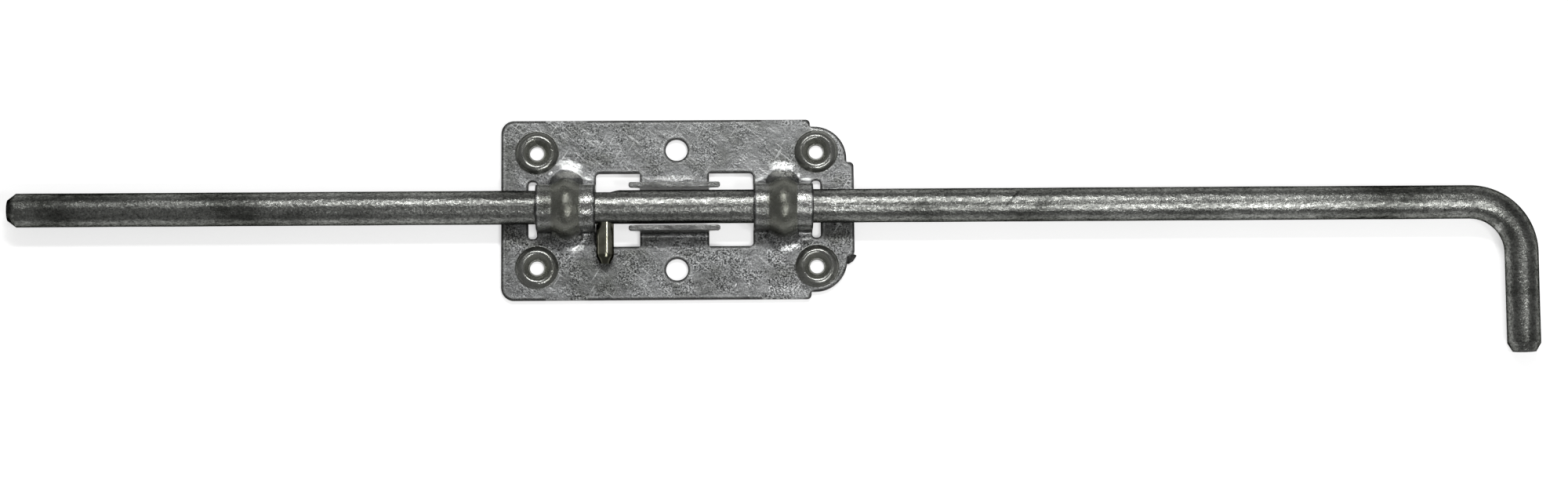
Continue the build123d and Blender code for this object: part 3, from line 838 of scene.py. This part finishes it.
@dataclass
class BoltRod:
    """The long round bar with its tapered tip, its flat beside the strap and its handle.

    A taper is its length and how far it draws in. The flat begins, is full, is still full
    and ends at its four X. The zinc's unevenness is two waves: each has its length along
    the bar, for one radian, and its lobes round it, with the sign of their twist.
    """

    node: str = "bolt_rod"
    body: str = "bolt"
    slot: str = "galvanised_bar"
    finish: GalvanisedBar = GalvanisedBar()
    bend_radius_mm: float = 24.0
    tip_taper_mm: Pair = (4.0, 3.0)
    grip_taper_mm: Pair = (4.0, 2.4)
    handle_dip_degrees: float = 2.555
    pin_dip_degrees: float = 10.53
    flat_x_mm: tuple[float, ...] = (-39.7, -38.7, -31.5, -27.6)
    flat_depth_mm: float = 1.0
    step_mm: float = 1.5
    columns: int = 72
    wobble_mm: float = 0.06
    wobble_wave_mm: Pair = (11.3, 7.1)
    wobble_lobes: tuple[int, int] = (2, -3)
    least_facing: float = 0.05
    sharp_degrees: float = 25.0

    def sizes(self) -> tuple[float, float, float, float, float]:
        """Reads the bar's sizes from its solid.

        Returns:
            Radius, height of the axis, X of the tip, X of the handle's centre line and
            furthest reach of the handle from the bar's axis, in metres.
        """
        low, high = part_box(self.node)
        radius = high.y
        return radius, high.z - radius, low.x, high.x - radius, -low.y

    def build(self) -> bpy.types.Object:
        """Carries a circle along the bar's centre line.

        A row's place is its distance s along the line: straight, round a quarter bend and
        straight again. The circle's radius shrinks in proportion over each taper, is cut
        to the flat's plane beside the strap, and wavers inward by a few hundredths of a
        millimetre as hot-dip zinc does.

        Returns:
            The bar that stands for its node.
        """
        radius, height, tip, handle_x, handle_end = self.sizes()
        dip = math.radians(self.handle_dip_degrees)
        bend = self.bend_radius_mm * MM
        tip_length, tip_drop = (v * MM for v in self.tip_taper_mm)
        grip_length, grip_drop = (v * MM for v in self.grip_taper_mm)
        end_radius = radius - grip_drop
        handle_length = (handle_end - end_radius * math.sin(dip)) / math.cos(dip)
        straight = handle_x - bend - tip
        arc = bend * math.pi / 2
        total = straight + arc + handle_length - bend
        grip = total - grip_length
        wall = np.arange(tip_length, grip, self.step_mm * MM)
        s = np.concatenate([[0.0, tip_length / 2], wall, [grip, total - grip_length / 2, total]])

        turn = np.clip((s - straight) / bend, 0.0, math.pi / 2)
        along = np.minimum(s, straight) + bend * np.sin(turn)
        down = bend * (1 - np.cos(turn)) + np.maximum(s - straight - arc, 0.0)
        forward = np.array([1.0, 0.0, 0.0])
        across = np.array([0.0, math.cos(dip), math.sin(dip)])
        out = np.array([0.0, -math.sin(dip), math.cos(dip)])
        start = np.array([tip, 0.0, height])
        centre = start + along[:, None] * forward - down[:, None] * across
        side = np.cos(turn)[:, None] * across + np.sin(turn)[:, None] * forward

        angle = np.arange(self.columns) * 2 * math.pi / self.columns
        taper = tip_drop * np.clip(1 - s / tip_length, 0, 1)
        taper = taper + grip_drop * np.clip((s - total) / grip_length + 1, 0, 1)
        reach = (radius - taper)[:, None] + self.waver(s, angle)
        reach = np.minimum(reach, self.flat_limit(tip + s, angle, radius, dip))
        ring = np.cos(angle)[None, :, None] * side[:, None, :] + np.sin(angle)[None, :, None] * out
        points = centre[:, None, :] + reach[:, :, None] * ring

        rod = GridSurface("galvanised_bar", points).build()
        rod.data.set_sharp_from_angle(angle=math.radians(self.sharp_degrees))
        rod.data.materials.append(self.finish.material())
        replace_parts(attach(rod, self.body), self.node)
        return rod

    def waver(self, s: np.ndarray, angle: np.ndarray) -> np.ndarray:
        """The zinc's unevenness: the sum of two sine waves, from nought down to the wobble.

        Args:
            s: Distances along the bar, in metres.
            angle: Angles round it.

        Returns:
            How far the surface stands out, one row for each distance.
        """
        waves = zip(self.wobble_wave_mm, self.wobble_lobes)
        total = sum(np.sin(s[:, None] / (wave * MM) + lobes * angle) for wave, lobes in waves)
        return self.wobble_mm * MM * (total - 2) / 4

    def flat_limit(
        self, x: np.ndarray, angle: np.ndarray, radius: float, dip: float
    ) -> np.ndarray:
        """How far the surface may stand from the axis at the flat.

        The flat faces away from the pin. Its plane lies a depth inside the round, and the
        depth falls to nought over a ramp at each end. At an angle off the flat's normal
        the plane is that much further away, by the angle's cosine.

        Args:
            x: Place along the bar, in metres.
            angle: Angle round the bar, from the side away from the handle.
            radius: The bar's radius.
            dip: Angle by which the handle's plane dips.

        Returns:
            The greatest distance from the axis, one row for each place.
        """
        before, start, end, after = (v * MM for v in self.flat_x_mm)
        share = np.minimum((x - before) / (start - before), (after - x) / (after - end))
        depth = self.flat_depth_mm * MM * np.clip(share, -1, 1)
        facing = np.cos(angle + dip - math.radians(self.pin_dip_degrees))
        limit = (radius - depth)[:, None] / np.maximum(facing, self.least_facing)[None, :]
        return np.where((depth > 0)[:, None], limit, np.inf)


@dataclass
class StopPin:
    """The round pin across the bar, which stops it between the strap and the ears.

    The nose is its length and how far it draws in. The rows of points lie at shares of
    the straight side and of the nose.
    """

    node: str = "stop_pin"
    body: str = "bolt"
    slot: str = "plated_pin"
    finish: PlatedPin = PlatedPin()
    radius_mm: float = 4.2
    length_mm: float = 26.6
    nose_mm: Pair = (3.5, 1.9)
    shoulder_mm: float = 0.35
    shoulder_drop: float = 0.3
    side_rows: tuple[float, ...] = (0.0, 0.5, 0.9, 1.0)
    nose_rows: int = 8
    nose_start: float = 0.08
    dip_degrees: float = 10.53
    columns: int = 64
    sharp_degrees: float = 40.0

    def build(self) -> bpy.types.Object:
        """Turns the pin's outline about its axis: a straight side and a tapered nose.

        Along the nose the radius shrinks in proportion to the length, less a small drop
        that rounds the shoulder and dies out as the square of the distance from it.

        Returns:
            The pin that stands for its node.
        """
        low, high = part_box(self.node)
        radius, length, edge = (v * MM for v in (self.radius_mm, self.length_mm, self.shoulder_mm))
        nose, narrowing = (v * MM for v in self.nose_mm)
        shoulder = length - nose
        dip = math.radians(self.dip_degrees)
        axis = np.array([0.0, -math.cos(dip), -math.sin(dip)])
        upright = np.array([0.0, -math.sin(dip), math.cos(dip)])
        across = np.array([1.0, 0.0, 0.0])
        start = np.array([(low.x + high.x) / 2, 0.0, self.axis_height()])
        side = np.array(self.side_rows) * shoulder
        tip = shoulder + np.linspace(self.nose_start, 1.0, self.nose_rows) * nose
        reach = np.concatenate([side, tip])
        share = np.clip((reach - shoulder) / nose, 0, 1)
        rounding = edge * np.clip(1 - np.abs(reach - shoulder) / (2 * edge), 0, 1) ** 2
        width = radius - narrowing * share - self.shoulder_drop * rounding
        angle = np.arange(self.columns) * 2 * math.pi / self.columns
        ring = np.cos(angle)[:, None] * across + np.sin(angle)[:, None] * upright
        points = start + reach[:, None, None] * axis + width[:, None, None] * ring

        pin = GridSurface("stop_pin_plated", points).build()
        pin.data.set_sharp_from_angle(angle=math.radians(self.sharp_degrees))
        pin.data.materials.append(self.finish.material())
        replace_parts(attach(pin, self.body), self.node)
        return pin

    def axis_height(self) -> float:
        """Height of the bar's axis above the plate's back, from the bar's solid."""
        _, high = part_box("bolt_rod")
        return high.z - high.y


@dataclass(frozen=True)
class Lamp:
    """One soft rectangular lamp that faces straight down. Metres and watts."""

    name: str
    place: Triple
    size: Pair
    power: float

    def build(self) -> bpy.types.Object:
        """Makes the lamp and returns it."""
        light = bpy.data.lights.new(self.name, "AREA")
        light.shape = "RECTANGLE"
        light.size, light.size_y = self.size
        light.energy = self.power
        lamp = place_object(self.name, light)
        lamp.matrix_world = Matrix.Translation(self.place)
        return lamp


@dataclass
class Studio:
    """Pale floor, soft lamps and the camera at the photograph's view.

    Lengths are metres but for the lens and its sensor. The glow is what the camera and
    reflections see of the floor beyond its own light.
    """

    lamps: tuple[Lamp, ...] = (
        Lamp("key_lamp", (0.09, 0.78, 1.35), (0.5, 0.2), 9.0),
        Lamp("long_lamp", (0.04, 0.78, 1.36), (1.1, 0.18), 4.5),
        Lamp("fill_lamp", (0.44, -0.76, 1.35), (0.56, 0.2), 8.6),
        Lamp("edge_lamp", (0.68, -0.31, 1.35), (0.08, 0.26), 3.0),
    )
    floor_half: float = 4.0
    floor_drop: float = 0.0002
    floor_colour: str = "#e6e6e6"
    floor_glow: float = 0.46
    world_level: float = 0.27
    aim: Triple = (0.0507214, -0.0154854, 0.0)
    distance: float = 1.8
    tilt_degrees: float = 8.7147
    turn_degrees: float = -1.27
    roll_degrees: float = -0.5485
    lens_mm: float = 87.053
    sensor_mm: float = 36.0
    clip: Pair = (0.05, 20.0)

    def build(self) -> None:
        """Makes the floor, the world, the lamps and the camera."""
        self.floor()
        self.world()
        for lamp in self.lamps:
            lamp.build()
        self.camera()
        bpy.context.scene.view_settings.view_transform = "Standard"

    def floor(self) -> bpy.types.Object:
        """Makes the floor: a pale matt sheet that camera and reflections see nearly white."""
        half = self.floor_half
        square = ((-half, -half), (half, -half), (half, half), (-half, half))
        corners = [(x, y, -self.floor_drop) for x, y in square]
        mesh = bpy.data.meshes.new("floor")
        mesh.from_pydata(corners, [], [(0, 1, 2, 3)])
        floor = place_object("floor", mesh)
        mesh.materials.append(self.floor_material())
        return floor

    def floor_material(self) -> bpy.types.Material:
        """Matt pale paint, with a glow that only camera, glossy and transmission rays see."""
        material = bpy.data.materials.new("pale_studio_floor")
        material.use_nodes = True
        tree = material.node_tree
        tree.nodes.clear()
        matt = add_node(tree, "BsdfDiffuse", {"Color": linear(self.floor_colour)})
        path = add_node(tree, "LightPath").outputs
        seen = path["Is Camera Ray"]
        for ray in ("Is Glossy Ray", "Is Transmission Ray"):
            seen = add_node(tree, "Math", {0: seen, 1: path[ray]}, operation="MAXIMUM").outputs[0]
        level = add_node(tree, "Math", {0: seen, 1: self.floor_glow}, operation="MULTIPLY")
        glow = add_node(tree, "Emission", {"Color": WHITE, "Strength": level.outputs[0]})
        both = add_node(tree, "AddShader", {0: matt.outputs[0], 1: glow.outputs[0]})
        add_node(tree, "OutputMaterial", {"Surface": both.outputs[0]})
        return material

    def world(self) -> None:
        """Fills the room with an even soft light."""
        world = bpy.data.worlds.new("studio")
        world.use_nodes = True
        tree = world.node_tree
        tree.nodes.clear()
        soft = add_node(tree, "Background", {"Color": WHITE, "Strength": self.world_level})
        add_node(tree, "OutputWorld", {"Surface": soft.outputs[0]})
        bpy.context.scene.world = world

    def camera(self) -> bpy.types.Object:
        """Sets the camera where the photograph was taken from.

        It stands at a distance from its aim, tilted from straight above towards the
        handle's side and turned a little, and rolled by the bar's slope in the picture.

        Returns:
            The scene's camera.
        """
        tilt, turn = math.radians(self.tilt_degrees), math.radians(self.turn_degrees)
        level = math.cos(tilt)
        back = Vector((math.sin(turn) * level, -math.sin(tilt), math.cos(turn) * level))
        right = Vector((0, 1, 0)).cross(back).normalized()
        stand = Matrix((right, back.cross(right), back)).transposed().to_4x4()
        roll = Matrix.Rotation(math.radians(self.roll_degrees), 4, "Z")
        place = Matrix.Translation(Vector(self.aim) + back * self.distance)
        lens = bpy.data.cameras.new("camera")
        lens.sensor_fit = "HORIZONTAL"
        lens.sensor_width = self.sensor_mm
        lens.lens = self.lens_mm
        lens.clip_start, lens.clip_end = self.clip
        camera = place_object("camera", lens)
        camera.matrix_world = place @ stand @ roll
        bpy.context.scene.camera = camera
        return camera


def main() -> None:
    """Builds the pieces in order, logs their faces, and sets up the studio."""
    logging.basicConfig(level=logging.INFO, format="%(name)s: %(message)s")
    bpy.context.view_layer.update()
    for part in (MountingPlate(), BoltRod(), StopPin()):
        piece = part.build()
        log.info("%s: %d faces", piece.name, len(piece.data.polygons))
    Studio().build()


if __name__ == "__main__":
    main()
